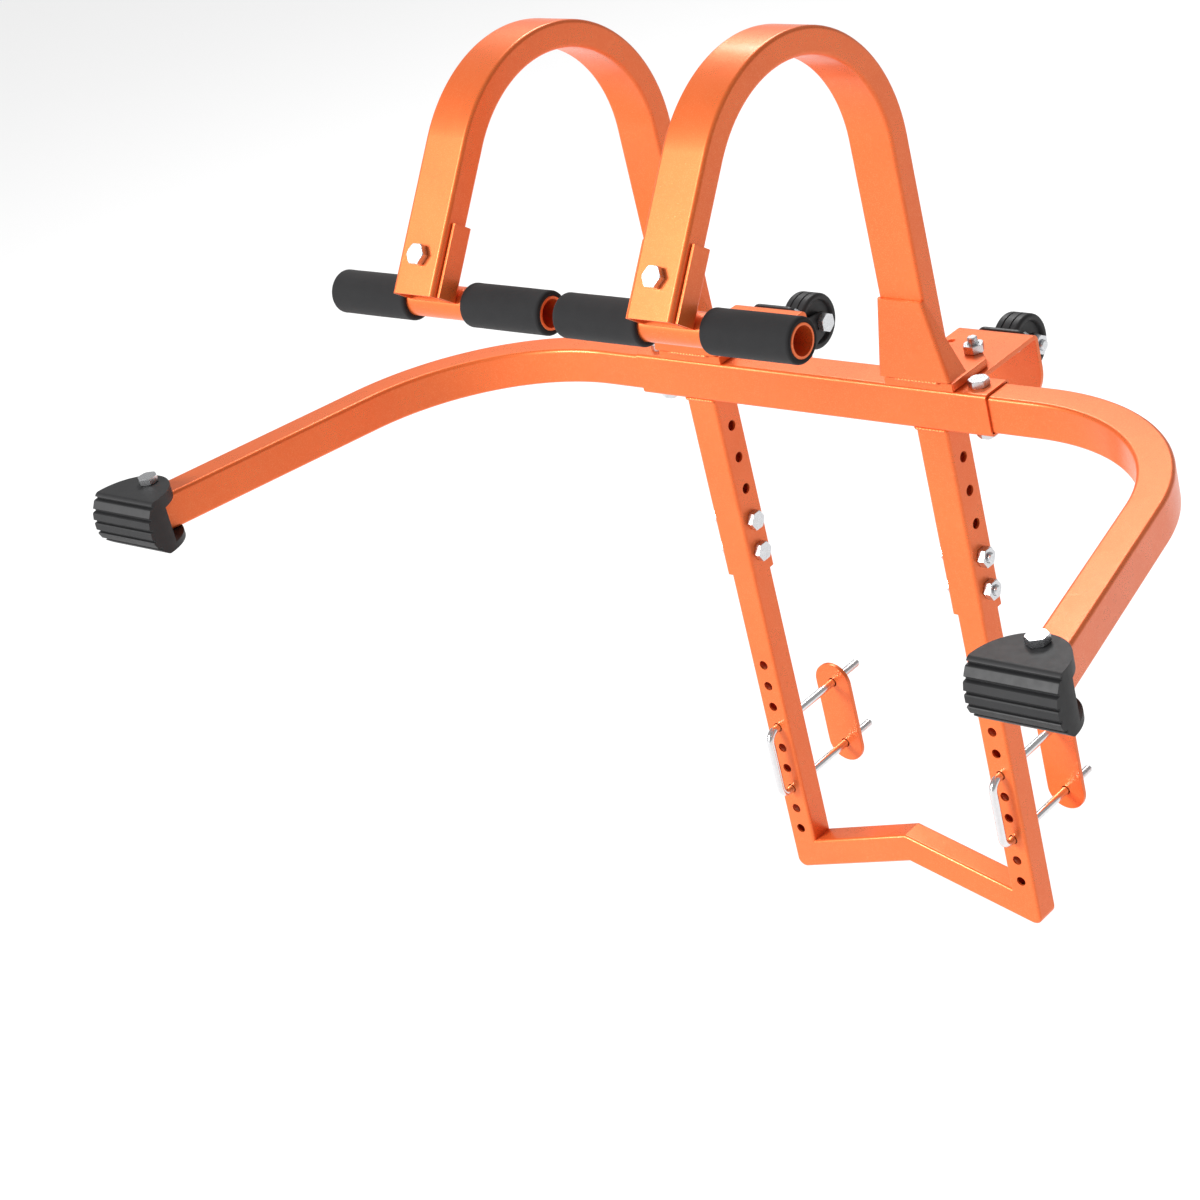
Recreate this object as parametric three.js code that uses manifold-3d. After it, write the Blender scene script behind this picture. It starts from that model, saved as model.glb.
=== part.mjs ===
// Ladder stabilizer: two roof hooks on a crossbar, two wall arms, an adjustable lower frame
// clamped to a ladder rung. Millimetres, +Z up along the ladder, +X to the right,
// the wall and the roof ridge on the -Y side, the ladder and the wheels on the +Y side.
// The origin is the middle of the clamped rung. "right" is the +X side.
import * as THREE from 'three';
import { mergeVertices } from 'three/addons/utils/BufferGeometryUtils.js';
import Module from 'manifold-3d';

const wasm = await Module();
wasm.setup();

// ---- driving dimensions ----
const GAP = 0.3;                    // clearance between neighbouring pieces
const RUNG_BEHIND_LEGS = 40;        // rung axis behind the leg centre plane
const BAR_ABOVE_RUNG = 364;         // crossbar axis above the rung
const HOOK_X = 114.5;               // hooks, out from the middle
const LEG_X = 116;                  // legs, out from the middle

const BAR = { half: 174.5, depth: 32, height: 35, wall: 1.8, corner: 3 };
const LEG_SLEEVE = { width: 30, depth: 28, wall: 2.1, corner: 3, bottom: -183 };
const SLEEVE_HOLES = { top: -46.6, pitch: 29.1, count: 5, firstBolted: 3, diameter: 9 };

const LEG = { width: 25, depth: 23.2, wall: 1.8, corner: 2.5, top: -113, bottom: -476 };
const RUNG_HOLES = { top: -271, pitch: 20.67, count: 9, diameter: 8.5 };
const V_BAR = { height: 26.2, peakTop: -418, cornerTop: -447, cornerRound: 7 };

const HOOK = { width: 41, depth: 21, wall: 1.8, corner: 3, radius: 111, rearY: -7.5, bendZ: 217.5 };
const HOOK_LEAN = 37.4;               // front leg, degrees forward of straight down
const HOOK_FRONT_LENGTH = 117.3;
const HOOK_BOLT_AT = 88;            // along the front leg

const BASE = { width: 64, front: -17, back: 45, thick: 7, bevelOut: 15, bevelIn: 8 };
const BASE_BOLTS = [{ out: 15, y: 39 }, { out: -25, y: 39 }];
const BASE_BOLT_TAIL = 6;
const GUSSET = { topHalf: 20.5, bottomHalf: 33.5, top: 93, thick: 3, topDeep: 3.2, bottomDeep: 23 };

const ARM = { width: 27.8, height: 30.8, wall: 1.8, corner: 3, inner: 112, bendStart: 215 };
const ARM_BEND = { radius: 175, degrees: 76.5 };
const ARM_BOLT_X = 159;
const FOOT_BOLT_Y = -335;
const ARM_PAST_BOLT = 6;

const FOOT = { width: 71, top: 26.3, bottom: -21, topFront: -363, bottomFront: -361, back: -323, bodyBack: -350.7 };
const FOOT_RIBS = { count: 5, lip: 2.5, groove: 2.4, depth: 3 };
const FOOT_BULGE = { y: -373.8, z: 0.2, flatHalf: 3.3 };

const T_BAR = { half: 107.5, radius: 12.5, wall: 2, along: 114.3, foamRadius: 16.5, foamLength: 78.5, foamRound: 3 };
const T_BRACKET = { sheet: 2.5, side: 2.5, sideGap: 0.8, from: 61, frontInset: 4.8 };

const WHEEL_PLATE = { width: 71.5, thick: 4, back: 93, flangeStraight: -12, holeOut: -27, holeY: 66 };
const CASTER = { width: 46, height: 64, plate: 3.7, z: -15, boltX: 17.5, boltTop: 7, boltBottom: -40 };
const WHEEL = { radius: 24, width: 22, y: 126, z: -10, inboard: 8, cheek: 3, hub: 7 };

const U_BOLT = { rod: 7, bendY: -24.5, bendRadius: 9, tipY: 105, topHole: 3, holes: 3 };
const CLAMP = { width: 36, thick: 4, front: 68 };

const M8 = { rod: 8, flats: 15, head: 5.5, nut: 6.5 };
const M6 = { rod: 6, flats: 10, head: 4, nut: 5 };

// ---- finishes ----
const finish = (color, roughness, metalness) => new THREE.MeshStandardMaterial({ color, roughness, metalness });
const orangePaint = () => finish(0xff7a3c, 0.35, 0.3);
const blackFoam = () => finish(0x2b2b2b, 0.9, 0);
const blackRubber = () => finish(0x1e1e1e, 0.75, 0);
const blackPlastic = () => finish(0x151515, 0.4, 0);
const zinc = () => finish(0xc8ccd0, 0.3, 1);

// ---- solids ----
const rad = THREE.MathUtils.degToRad;

// A merged, outward-facing copy of a geometry, as a solid that can be cut and joined.
function solid(geometry) {
  const bare = new THREE.BufferGeometry();
  bare.setAttribute('position', geometry.getAttribute('position').clone());
  if (geometry.index) bare.setIndex(geometry.index.clone());
  const merged = mergeVertices(bare, 1e-4);
  const points = merged.getAttribute('position').array;
  const corners = new Uint32Array(merged.index.array);
  if (signedVolume(points, corners) < 0) {
    for (let i = 0; i < corners.length; i += 3) [corners[i], corners[i + 1]] = [corners[i + 1], corners[i]];
  }
  return new wasm.Manifold(new wasm.Mesh({ numProp: 3, vertProperties: new Float32Array(points), triVerts: corners }));
}

function signedVolume(points, corners) {
  const at = (i) => new THREE.Vector3().fromArray(points, 3 * i);
  let sum = 0;
  for (let i = 0; i < corners.length; i += 3) {
    sum += at(corners[i]).dot(at(corners[i + 1]).cross(at(corners[i + 2])));
  }
  return sum / 6;
}

function geometryOf(body) {
  const mesh = body.getMesh();
  const geometry = new THREE.BufferGeometry();
  geometry.setAttribute('position', new THREE.BufferAttribute(new Float32Array(mesh.vertProperties), 3));
  geometry.setIndex(new THREE.BufferAttribute(new Uint32Array(mesh.triVerts), 1));
  return geometry;
}

const joined = (...bodies) => bodies.reduce((whole, body) => whole.add(body));
const cut = (body, ...tools) => tools.reduce((left, tool) => left.subtract(tool), body);

// A geometry moved by a matrix, or by an offset, before it becomes a solid.
const moved = (geometry, x, y, z) => geometry.translate(x, y, z);
const block = (x0, x1, y0, y1, z0, z1) =>
  solid(moved(new THREE.BoxGeometry(x1 - x0, y1 - y0, z1 - z0), (x0 + x1) / 2, (y0 + y1) / 2, (z0 + z1) / 2));

// Round bars along one axis, between two places on it. at gives the other two coordinates.
function roundBar(axis, radius, from, to, at, sides = 12) {
  const bar = new THREE.CylinderGeometry(radius, radius, to - from, sides);
  const middle = (from + to) / 2;
  if (axis === 'x') return solid(moved(bar.rotateZ(-Math.PI / 2), middle, at[0], at[1]));
  if (axis === 'y') return solid(moved(bar, at[0], middle, at[1]));
  return solid(moved(bar.rotateX(Math.PI / 2), at[0], at[1], middle));
}

function roundedRectangle(width, height, corner, steps = 3) {
  const shape = new THREE.Shape();
  const points = [];
  for (const [sx, sy, start] of [[1, 1, 0], [-1, 1, 90], [-1, -1, 180], [1, -1, 270]]) {
    for (let i = 0; i <= steps; i++) {
      const a = rad(start + (90 * i) / steps);
      const x = sx * (width / 2 - corner) + corner * Math.cos(a);
      points.push(new THREE.Vector2(x, sy * (height / 2 - corner) + corner * Math.sin(a)));
    }
  }
  return shape.setFromPoints(points);
}

// A closed outline pushed along Z, from z0 to z1.
function prism(shape, z0, z1) {
  return new THREE.ExtrudeGeometry(shape, { depth: z1 - z0, bevelEnabled: false, curveSegments: 7 }).translate(0, 0, z0);
}

// The same, with the outline drawn in X and Z and pushed along Y from y0 to y1.
const prismY = (shape, y0, y1) => prism(shape, -y1, -y0).rotateX(Math.PI / 2);

// The same, with the outline drawn in Y and Z and pushed along X from x0 to x1.
function prismX(shape, x0, x1) {
  const turn = new THREE.Matrix4().makeBasis(
    new THREE.Vector3(0, 1, 0), new THREE.Vector3(0, 0, 1), new THREE.Vector3(1, 0, 0));
  return prism(shape, x0, x1).applyMatrix4(turn);
}

const outline = (...points) => new THREE.Shape(points.map(([a, b]) => new THREE.Vector2(a, b)));

// Centre line of a bent tube, given as stations that each hold a point and a direction.
class StationLine extends THREE.Curve {
  constructor(stations) {
    super();
    this.stations = stations;
  }

  station(u) {
    return this.stations[Math.round(u * (this.stations.length - 1))];
  }

  getPointAt(u) {
    return this.station(u).point.clone();
  }

  getTangentAt(u) {
    return this.station(u).ahead.clone();
  }
}

// Walks straight runs and bends in the plane of ahead and side; a bend turns towards side.
function walk(start, ahead, side, runs) {
  const place = start.clone();
  let turn = 0;
  const heading = () => ahead.clone().multiplyScalar(Math.cos(turn)).addScaledVector(side, Math.sin(turn));
  const stations = [{ point: place.clone(), ahead: heading() }];
  for (const run of runs) {
    const steps = run.steps ?? 1;
    const half = rad(run.degrees ?? 0) / steps / 2;
    const length = run.straight ?? 2 * run.radius * Math.sin(half);
    for (let i = 0; i < steps; i++) {
      turn += half;
      place.addScaledVector(heading(), length);
      turn += half;
      stations.push({ point: place.clone(), ahead: heading() });
    }
  }
  return new StationLine(stations);
}

function swept(shape, line) {
  const steps = line.stations.length - 1;
  return solid(new THREE.ExtrudeGeometry(shape, { steps, extrudePath: line, bevelEnabled: false }));
}

// A hexagon along Z with two of its corners on the X axis.
function hexagon(flats, height, z) {
  const across = flats / Math.sqrt(3);
  const prismAlongY = new THREE.CylinderGeometry(across, across, height, 6).rotateY(Math.PI / 6);
  return solid(moved(prismAlongY.rotateX(Math.PI / 2), 0, 0, z));
}

// Hexagon bolt along +Z: head under z = 0, shank up to the nut, which starts at z = grip.
function hexBolt(size, grip, tail = 3) {
  const head = hexagon(size.flats, size.head, -size.head / 2 - GAP);
  const nut = hexagon(size.flats, size.nut, grip + GAP + size.nut / 2);
  const shank = roundBar('z', size.rod / 2, -size.head / 2, grip + size.nut + tail, [0, 0], 8);
  return geometryOf(joined(head, shank, nut));
}

// ---- frame pieces, all about the crossbar's axis ----
const barTop = BAR.height / 2;
const barBack = BAR.depth / 2;

function crossbarSleeve() {
  const tube = (width, height, corner, half) =>
    solid(prismX(roundedRectangle(width, height, corner), -half, half));
  const shell = cut(tube(BAR.depth, BAR.height, BAR.corner, BAR.half),
    tube(BAR.depth - 2 * BAR.wall, BAR.height - 2 * BAR.wall, BAR.corner - BAR.wall + 0.4, BAR.half + 1));
  const boltHoles = [-1, 1].map((s) => roundBar('z', M8.rod / 2 + 0.5, -40, 40, [s * ARM_BOLT_X, 0]));
  return geometryOf(cut(shell, ...boltHoles));
}

const sleeveHoleZ = (i) => SLEEVE_HOLES.top - i * SLEEVE_HOLES.pitch;
const sleeveHoles = (first, last, x) => {
  const holes = [];
  for (let i = first; i <= last; i++) {
    holes.push(roundBar('x', SLEEVE_HOLES.diameter / 2, x - 30, x + 30, [0, sleeveHoleZ(i)], 10));
  }
  return holes;
};

function legSleeve() {
  const top = -barTop - GAP;
  const s = LEG_SLEEVE;
  const shell = cut(solid(prism(roundedRectangle(s.width, s.depth, s.corner), s.bottom, top)),
    solid(prism(roundedRectangle(s.width - 2 * s.wall, s.depth - 2 * s.wall, 1), s.bottom - 1, top + 1)));
  return geometryOf(cut(shell, ...sleeveHoles(0, SLEEVE_HOLES.count - 1, 0)));
}

// One leg and half of the peaked bottom bar, as a solid bar of the given section.
function halfFrame(width, depth, height, corner, legBottom, legTop) {
  const leg = prism(roundedRectangle(width, depth, corner), legBottom, legTop).translate(LEG_X, 0, 0);
  const run = LEG_X + LEG.width / 2 + 10;
  const slope = (V_BAR.cornerTop - V_BAR.peakTop) / (LEG_X - LEG.width / 2);
  const lean = new THREE.Matrix4().makeShear(0, slope, 0, 0, 0, 0);
  const middle = V_BAR.peakTop - V_BAR.height / 2;
  const bar = prismX(roundedRectangle(depth, height, corner), 0, run).applyMatrix4(lean).translate(0, 0, middle);
  return solid(leg).add(solid(bar));
}

function mirroredX(body) {
  return solid(geometryOf(body).scale(-1, 1, 1));
}

function lowerFrame() {
  const outer = halfFrame(LEG.width, LEG.depth, V_BAR.height, LEG.corner, LEG.bottom - 5, LEG.top);
  const inner = halfFrame(LEG.width - 2 * LEG.wall, LEG.depth - 2 * LEG.wall, V_BAR.height - 2 * LEG.wall, 1,
    LEG.bottom + 12, LEG.top + 5);
  const legOuter = LEG_X + LEG.width / 2;
  const slope = (V_BAR.peakTop - V_BAR.cornerTop) / (LEG_X - LEG.width / 2);
  const under = (x) => V_BAR.peakTop - V_BAR.height - slope * x;
  const keep = new THREE.Shape();
  keep.moveTo(-0.02, LEG.top + 1);
  keep.lineTo(-0.02, under(0));
  keep.lineTo(legOuter - V_BAR.cornerRound, under(legOuter - V_BAR.cornerRound));
  keep.quadraticCurveTo(legOuter, under(legOuter), legOuter, under(legOuter) + V_BAR.cornerRound);
  keep.lineTo(legOuter, LEG.top + 1);
  const inside = block(LEG.wall - 30, legOuter - LEG.wall, -30, 30, -600, 100);
  const half = cut(outer.intersect(solid(prismY(keep, -40, 40))), inner.intersect(inside));
  const holes = [];
  for (let i = 0; i < RUNG_HOLES.count; i++) {
    holes.push(roundBar('y', RUNG_HOLES.diameter / 2, -30, 30, [LEG_X, RUNG_HOLES.top - i * RUNG_HOLES.pitch], 10));
  }
  const last = SLEEVE_HOLES.count - 1;
  const drilled = cut(half, ...holes, ...sleeveHoles(SLEEVE_HOLES.firstBolted, last, LEG_X));
  return geometryOf(drilled.add(mirroredX(drilled)));
}

// Hook centre line in the hook's own mid plane, from the base plate up, over and down to the T-bar.
const hookBottom = barTop + GAP + BASE.thick + GAP;
const hookLine = walk(new THREE.Vector3(0, HOOK.rearY, hookBottom), new THREE.Vector3(0, 0, 1),
  new THREE.Vector3(0, -1, 0), [
    { straight: HOOK.bendZ - hookBottom },
    { degrees: 180 - HOOK_LEAN, radius: HOOK.radius, steps: 20 },
    { straight: HOOK_FRONT_LENGTH },
  ]);

// Where the front leg starts, at the end of the bend, and its lean.
const frontLeg = { start: hookLine.stations.at(-2).point, lean: rad(HOOK_LEAN) };

// Puts a geometry drawn with z up the front leg and y behind it, at a distance along the leg.
function onFrontLeg(geometry, along, behind = 0) {
  const turned = geometry.translate(0, behind, 0).rotateX(-frontLeg.lean);
  const y = frontLeg.start.y - along * Math.sin(frontLeg.lean);
  return turned.translate(0, y, frontLeg.start.z - along * Math.cos(frontLeg.lean));
}

function hookTube() {
  const h = HOOK;
  const outer = swept(roundedRectangle(h.depth, h.width, h.corner, 2), hookLine);
  const inner = swept(roundedRectangle(h.depth - 2 * h.wall, h.width - 2 * h.wall, 1, 1), hookLine);
  const boltHole = onFrontLeg(new THREE.CylinderGeometry(4.5, 4.5, 60, 12), HOOK_BOLT_AT);
  return cut(outer, inner, solid(boltHole));
}

function gusset() {
  const g = GUSSET;
  const front = HOOK.rearY - HOOK.depth / 2 - GAP - g.thick;
  const bottom = hookBottom + 2;
  const plate = solid(prismY(outline([-g.bottomHalf, bottom], [g.bottomHalf, bottom], [g.topHalf, g.top],
    [-g.topHalf, g.top]), front, front + g.thick));
  const side = outline([front, bottom], [front + g.bottomDeep, bottom], [front + g.topDeep, g.top], [front, g.top]);
  const splay = (g.topHalf - g.bottomHalf) / (g.top - bottom);
  const lean = new THREE.Matrix4().makeShear(0, 0, 0, 0, splay, 0);
  const flange = prismX(side, g.topHalf - g.thick, g.topHalf).translate(0, 0, -g.top).applyMatrix4(lean)
    .translate(0, 0, g.top);
  const right = solid(flange);
  const whole = joined(plate, right, mirroredX(right));
  const leg = block(-HOOK.width / 2 - GAP, HOOK.width / 2 + GAP, front + g.thick, 40, bottom - 5, g.top + 5);
  return cut(whole, leg);
}

function basePlate(out) {
  const b = BASE;
  const half = b.width / 2;
  const corners = [[-half, b.front], [half, b.front], [half, b.back - b.bevelOut], [half - b.bevelOut, b.back],
    [b.bevelIn - half, b.back], [-half, b.back - b.bevelIn]];
  const shape = outline(...corners.map(([x, y]) => [out * x, y]));
  const z = barTop + GAP;
  const holes = BASE_BOLTS.map((bolt) => roundBar('z', M8.rod / 2 + 0.4, 0, 60, [out * bolt.out, bolt.y]));
  return cut(solid(prism(shape, z, z + b.thick)), ...holes);
}

// The L-shaped plate behind the crossbar that carries the caster.
function wheelBracket(out) {
  const w = WHEEL_PLATE;
  const half = w.width / 2;
  const shelf = block(-half, half, barBack + GAP, w.back, barTop - w.thick, barTop);
  const tongue = new THREE.Shape();
  tongue.moveTo(half, barTop);
  tongue.lineTo(-half, barTop);
  tongue.lineTo(-half, w.flangeStraight);
  tongue.absarc(0, w.flangeStraight, half, Math.PI, 2 * Math.PI, false);
  tongue.lineTo(half, barTop);
  const flange = solid(prismY(tongue, w.back - w.thick, w.back));
  const shelfHoles = BASE_BOLTS.map((bolt) => roundBar('z', M8.rod / 2 + 0.4, 0, 60, [out * bolt.out, bolt.y]));
  const spare = roundBar('z', 3, 0, 60, [out * w.holeOut, w.holeY]);
  const casterHoles = casterBoltPlaces().map(([x, z]) =>
    roundBar('y', M6.rod / 2 + 0.4, w.back - 20, w.back + 20, [x, z], 10));
  return cut(joined(shelf, flange), ...shelfHoles, spare, ...casterHoles);
}

const casterBoltPlaces = () =>
  [CASTER.boltTop, CASTER.boltBottom].flatMap((z) => [[CASTER.boltX, z], [-CASTER.boltX, z]]);

function casterFork(out) {
  const c = CASTER;
  const y0 = WHEEL_PLATE.back + GAP;
  const plate = solid(prismY(roundedRectangle(c.width, c.height, 7), y0, y0 + c.plate)).translate([0, 0, c.z]);
  const middle = -out * WHEEL.inboard;
  const inside = WHEEL.width / 2 + 1;
  const cheekShape = new THREE.Shape();
  cheekShape.moveTo(y0 + 1, c.z - 18);
  cheekShape.lineTo(WHEEL.y, WHEEL.z - 9);
  cheekShape.absarc(WHEEL.y, WHEEL.z, 9, -Math.PI / 2, Math.PI / 2, false);
  cheekShape.lineTo(y0 + 1, c.z + 18);
  const cheeks = [-1, 1].map((s) => {
    const x = middle + s * (inside + WHEEL.cheek / 2);
    return solid(prismX(cheekShape, x - WHEEL.cheek / 2, x + WHEEL.cheek / 2));
  });
  const axle = roundBar('x', M8.rod / 2 + 0.4, -50, 50, [WHEEL.y, WHEEL.z]);
  const bolts = casterBoltPlaces().map(([x, z]) => roundBar('y', M6.rod / 2 + 0.4, 0, 110, [x, z], 10));
  return cut(joined(plate, ...cheeks), axle, ...bolts);
}

// A wheel of revolution about X with a raised tread, a recessed side and a bored hub.
function wheel() {
  const half = WHEEL.width / 2;
  const r = WHEEL.radius;
  const bore = M8.rod / 2 + 0.4;
  const right = [[bore, half], [WHEEL.hub, half], [WHEEL.hub + 1, half - 3], [r - 5, half - 3], [r - 4, half - 0.5],
    [r - 2, half - 0.5], [r, half - 2.5]];
  const left = right.map(([radius, x]) => [radius, -x]).reverse();
  const profile = [...right, ...left, right[0]].map(([radius, x]) => new THREE.Vector2(radius, x));
  return new THREE.LatheGeometry(profile, 28).rotateZ(-Math.PI / 2).translate(0, WHEEL.y, WHEEL.z);
}

// ---- wall arm and its foot, on the right-hand side ----
// Its straight run past the bend ends just beyond the foot bolt.
const armBendEndY = -ARM_BEND.radius * (1 - Math.cos(rad(ARM_BEND.degrees)));
const armTail = (armBendEndY - FOOT_BOLT_Y) / Math.sin(rad(ARM_BEND.degrees)) + ARM_PAST_BOLT;
const armLine = walk(new THREE.Vector3(ARM.inner, 0, 0), new THREE.Vector3(1, 0, 0), new THREE.Vector3(0, -1, 0), [
  { straight: ARM.bendStart - ARM.inner },
  { ...ARM_BEND, steps: 13 },
  { straight: armTail },
]);
const armEnd = armLine.stations.at(-1);
const footBolt = armEnd.point.clone().addScaledVector(armEnd.ahead, -ARM_PAST_BOLT);

function arm() {
  const a = ARM;
  const outer = swept(roundedRectangle(a.height, a.width, a.corner, 2), armLine);
  const inner = swept(roundedRectangle(a.height - 2 * a.wall, a.width - 2 * a.wall, 1, 1), armLine);
  const boltHole = roundBar('z', M8.rod / 2 + 0.5, -40, 40, [ARM_BOLT_X, 0]);
  const footHole = roundBar('z', M8.rod / 2 + 0.5, -40, 40, [footBolt.x, footBolt.y]);
  return cut(outer, inner, boltHole, footHole);
}

// The foot's bulging front: how far forward it stands at a height.
function footFace(z) {
  const edge = z > FOOT_BULGE.z ? { z: FOOT.top, y: FOOT.topFront } : { z: FOOT.bottom, y: FOOT.bottomFront };
  const reach = Math.abs(edge.z - FOOT_BULGE.z) - FOOT_BULGE.flatHalf;
  const away = Math.max(Math.abs(z - FOOT_BULGE.z) - FOOT_BULGE.flatHalf, 0) / reach;
  return FOOT_BULGE.y + away * away * (edge.y - FOOT_BULGE.y);
}

// Side outline, down the front: a thin lip, then flat-faced ribs with a groove above each.
function footSide() {
  const { count, lip, groove, depth } = FOOT_RIBS;
  const rib = (FOOT.top - FOOT.bottom - lip) / count - groove;
  const side = [[FOOT.back, FOOT.bottom], [FOOT.back, FOOT.top]];
  let z = FOOT.top;
  side.push([footFace(z), z], [footFace(z - lip), z - lip]);
  z -= lip;
  for (let i = 0; i < count; i++) {
    const floor = footFace(z - groove / 2) + depth;
    side.push([floor, z - 0.4], [floor, z - groove + 0.4]);
    z -= groove;
    side.push([footFace(z), z], [footFace(z - rib), z - rib]);
    z -= rib;
  }
  return outline(...side);
}

// Rubber pad with a ribbed front and two rounded ears that hold the arm's end.
function foot() {
  const f = FOOT;
  const half = f.width / 2;
  const body = solid(prismX(footSide(), -half, half));
  const plan = new THREE.Shape();
  plan.moveTo(half, f.topFront - 20);
  plan.lineTo(half, f.topFront);
  plan.absellipse(0, f.topFront, half, f.back - f.topFront, 0, Math.PI, false);
  plan.lineTo(-half, f.topFront - 20);
  const trimmed = body.intersect(solid(prism(plan, -60, 60)));
  const armHeight = ARM.height / 2 + GAP;
  const slot = block(-60, 60, f.bodyBack, f.back + 5, -armHeight, armHeight);
  const bolt = roundBar('z', M8.rod / 2 + 0.5, -60, 60, [0, FOOT_BOLT_Y]);
  return cut(trimmed, slot, bolt).translate([footBolt.x, 0, 0]);
}

// ---- T-bar under the front leg ----
const webBehind = HOOK.depth / 2 + GAP;
const tubeBehind = webBehind + T_BRACKET.sheet + GAP + T_BAR.radius;

const ringBar = (outer, inner, from, to) =>
  cut(roundBar('x', outer, from, to, [0, 0], 20), roundBar('x', inner, from - 1, to + 1, [0, 0], 20));

// Both ends of the T-bar's place, in the hook's mid plane.
function tBarPlace() {
  const { lean, start } = frontLeg;
  return [start.y - T_BAR.along * Math.sin(lean) + tubeBehind * Math.cos(lean),
    start.z - T_BAR.along * Math.cos(lean) - tubeBehind * Math.sin(lean)];
}

const tBarTube = () => ringBar(T_BAR.radius, T_BAR.radius - T_BAR.wall, -T_BAR.half, T_BAR.half);

// Foam sleeve with rounded ends, on the outer part of the tube. side is +1 or -1.
function foamGrip(side) {
  const t = T_BAR;
  const bore = t.radius + GAP;
  const ends = [];
  const steps = 3;
  for (let i = 0; i <= steps; i++) {
    const a = rad((90 * i) / steps);
    ends.push([t.foamRadius - t.foamRound * (1 - Math.cos(a)) * 0.8, t.foamRound * (1 - Math.sin(a))]);
  }
  const low = ends.slice().reverse().map(([radius, inset]) => [radius, inset]);
  const high = ends.map(([radius, inset]) => [radius, t.foamLength - inset]);
  const profile = [[bore, 0], ...low, ...high, [bore, t.foamLength], [bore, 0]];
  const turned = new THREE.LatheGeometry(profile.map(([radius, x]) => new THREE.Vector2(radius, x)), 20);
  turned.rotateZ(-Math.PI / 2);
  return turned.translate(side > 0 ? t.half - t.foamLength : -t.half, 0, 0);
}

function tBarBracket() {
  const b = T_BRACKET;
  const inside = HOOK.width / 2 + b.sideGap;
  const length = HOOK_FRONT_LENGTH - b.from;
  const outside = inside + b.side;
  const web = new THREE.BoxGeometry(2 * outside, b.sheet, length).translate(0, webBehind + b.sheet / 2, 0);
  const front = -HOOK.depth / 2 + b.frontInset;
  const back = webBehind + b.sheet;
  const side = (s) => new THREE.BoxGeometry(b.side, back - front, length)
    .translate(s * (inside + b.side / 2), (front + back) / 2, 0);
  const whole = joined(solid(web), solid(side(1)), solid(side(-1)));
  const hole = new THREE.CylinderGeometry(4.5, 4.5, 60, 12).translate(0, 0, b.from + length / 2 - HOOK_BOLT_AT);
  const placed = geometryOf(whole.subtract(solid(hole)));
  return onFrontLeg(placed, b.from + length / 2);
}

function tBarBolt() {
  const grip = HOOK.depth + GAP + T_BRACKET.sheet;
  const bolt = hexBolt(M8, grip, 2).rotateX(-Math.PI / 2);
  return onFrontLeg(bolt, HOOK_BOLT_AT, -HOOK.depth / 2);
}

// ---- rung clamp ----
const clampTop = RUNG_HOLES.top - U_BOLT.topHole * RUNG_HOLES.pitch;
const clampBottom = clampTop - U_BOLT.holes * RUNG_HOLES.pitch;

// A round rod that comes through the leg, runs down in front of it and goes back through.
function uBolt() {
  const { bendY, bendRadius, tipY, rod } = U_BOLT;
  const run = tipY - bendY - bendRadius;
  const quarter = { degrees: 90, radius: bendRadius, steps: 5 };
  const line = walk(new THREE.Vector3(0, tipY, clampTop), new THREE.Vector3(0, -1, 0), new THREE.Vector3(0, 0, -1), [
    { straight: run },
    quarter,
    { straight: clampTop - clampBottom - 2 * bendRadius },
    quarter,
    { straight: run },
  ]);
  return swept(roundedRectangle(rod, rod, rod / 2, 3), line);
}

function clampPlate() {
  const half = CLAMP.width / 2;
  const shape = new THREE.Shape();
  shape.moveTo(-half, clampBottom);
  shape.absarc(0, clampBottom, half, Math.PI, 2 * Math.PI, false);
  shape.absarc(0, clampTop, half, 0, Math.PI, false);
  const plate = solid(prismY(shape, CLAMP.front, CLAMP.front + CLAMP.thick));
  const holes = [clampTop, clampBottom].map((z) => roundBar('y', U_BOLT.rod / 2 + 0.6, 0, 200, [0, z]));
  return cut(plate, ...holes);
}

function clampNut(z) {
  const across = 12 / Math.sqrt(3);
  const y = CLAMP.front + CLAMP.thick + GAP;
  const nut = solid(moved(new THREE.CylinderGeometry(across, across, 6, 6), 0, y + 3, z));
  return cut(nut, roundBar('y', U_BOLT.rod / 2 + 0.3, 0, 200, [0, z], 12));
}

// ---- assembly ----
const stabilizer = new THREE.Group();
stabilizer.position.set(0, -RUNG_BEHIND_LEGS, BAR_ABOVE_RUNG);

// Adds one named mesh. Solids are drawn on the right-hand side; the left-hand ones are mirrored.
function piece(name, shape, material, x = 0, mirror = false) {
  const geometry = shape.isBufferGeometry ? shape.clone() : geometryOf(shape);
  const body = mirror ? mirroredX(solid(geometry)) : solid(geometry);
  const mesh = new THREE.Mesh(geometryOf(body), material);
  mesh.name = name;
  mesh.position.x = x;
  stabilizer.add(mesh);
}

piece('crossbar_sleeve', crossbarSleeve(), orangePaint());
piece('lower_frame', lowerFrame(), orangePaint());

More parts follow.
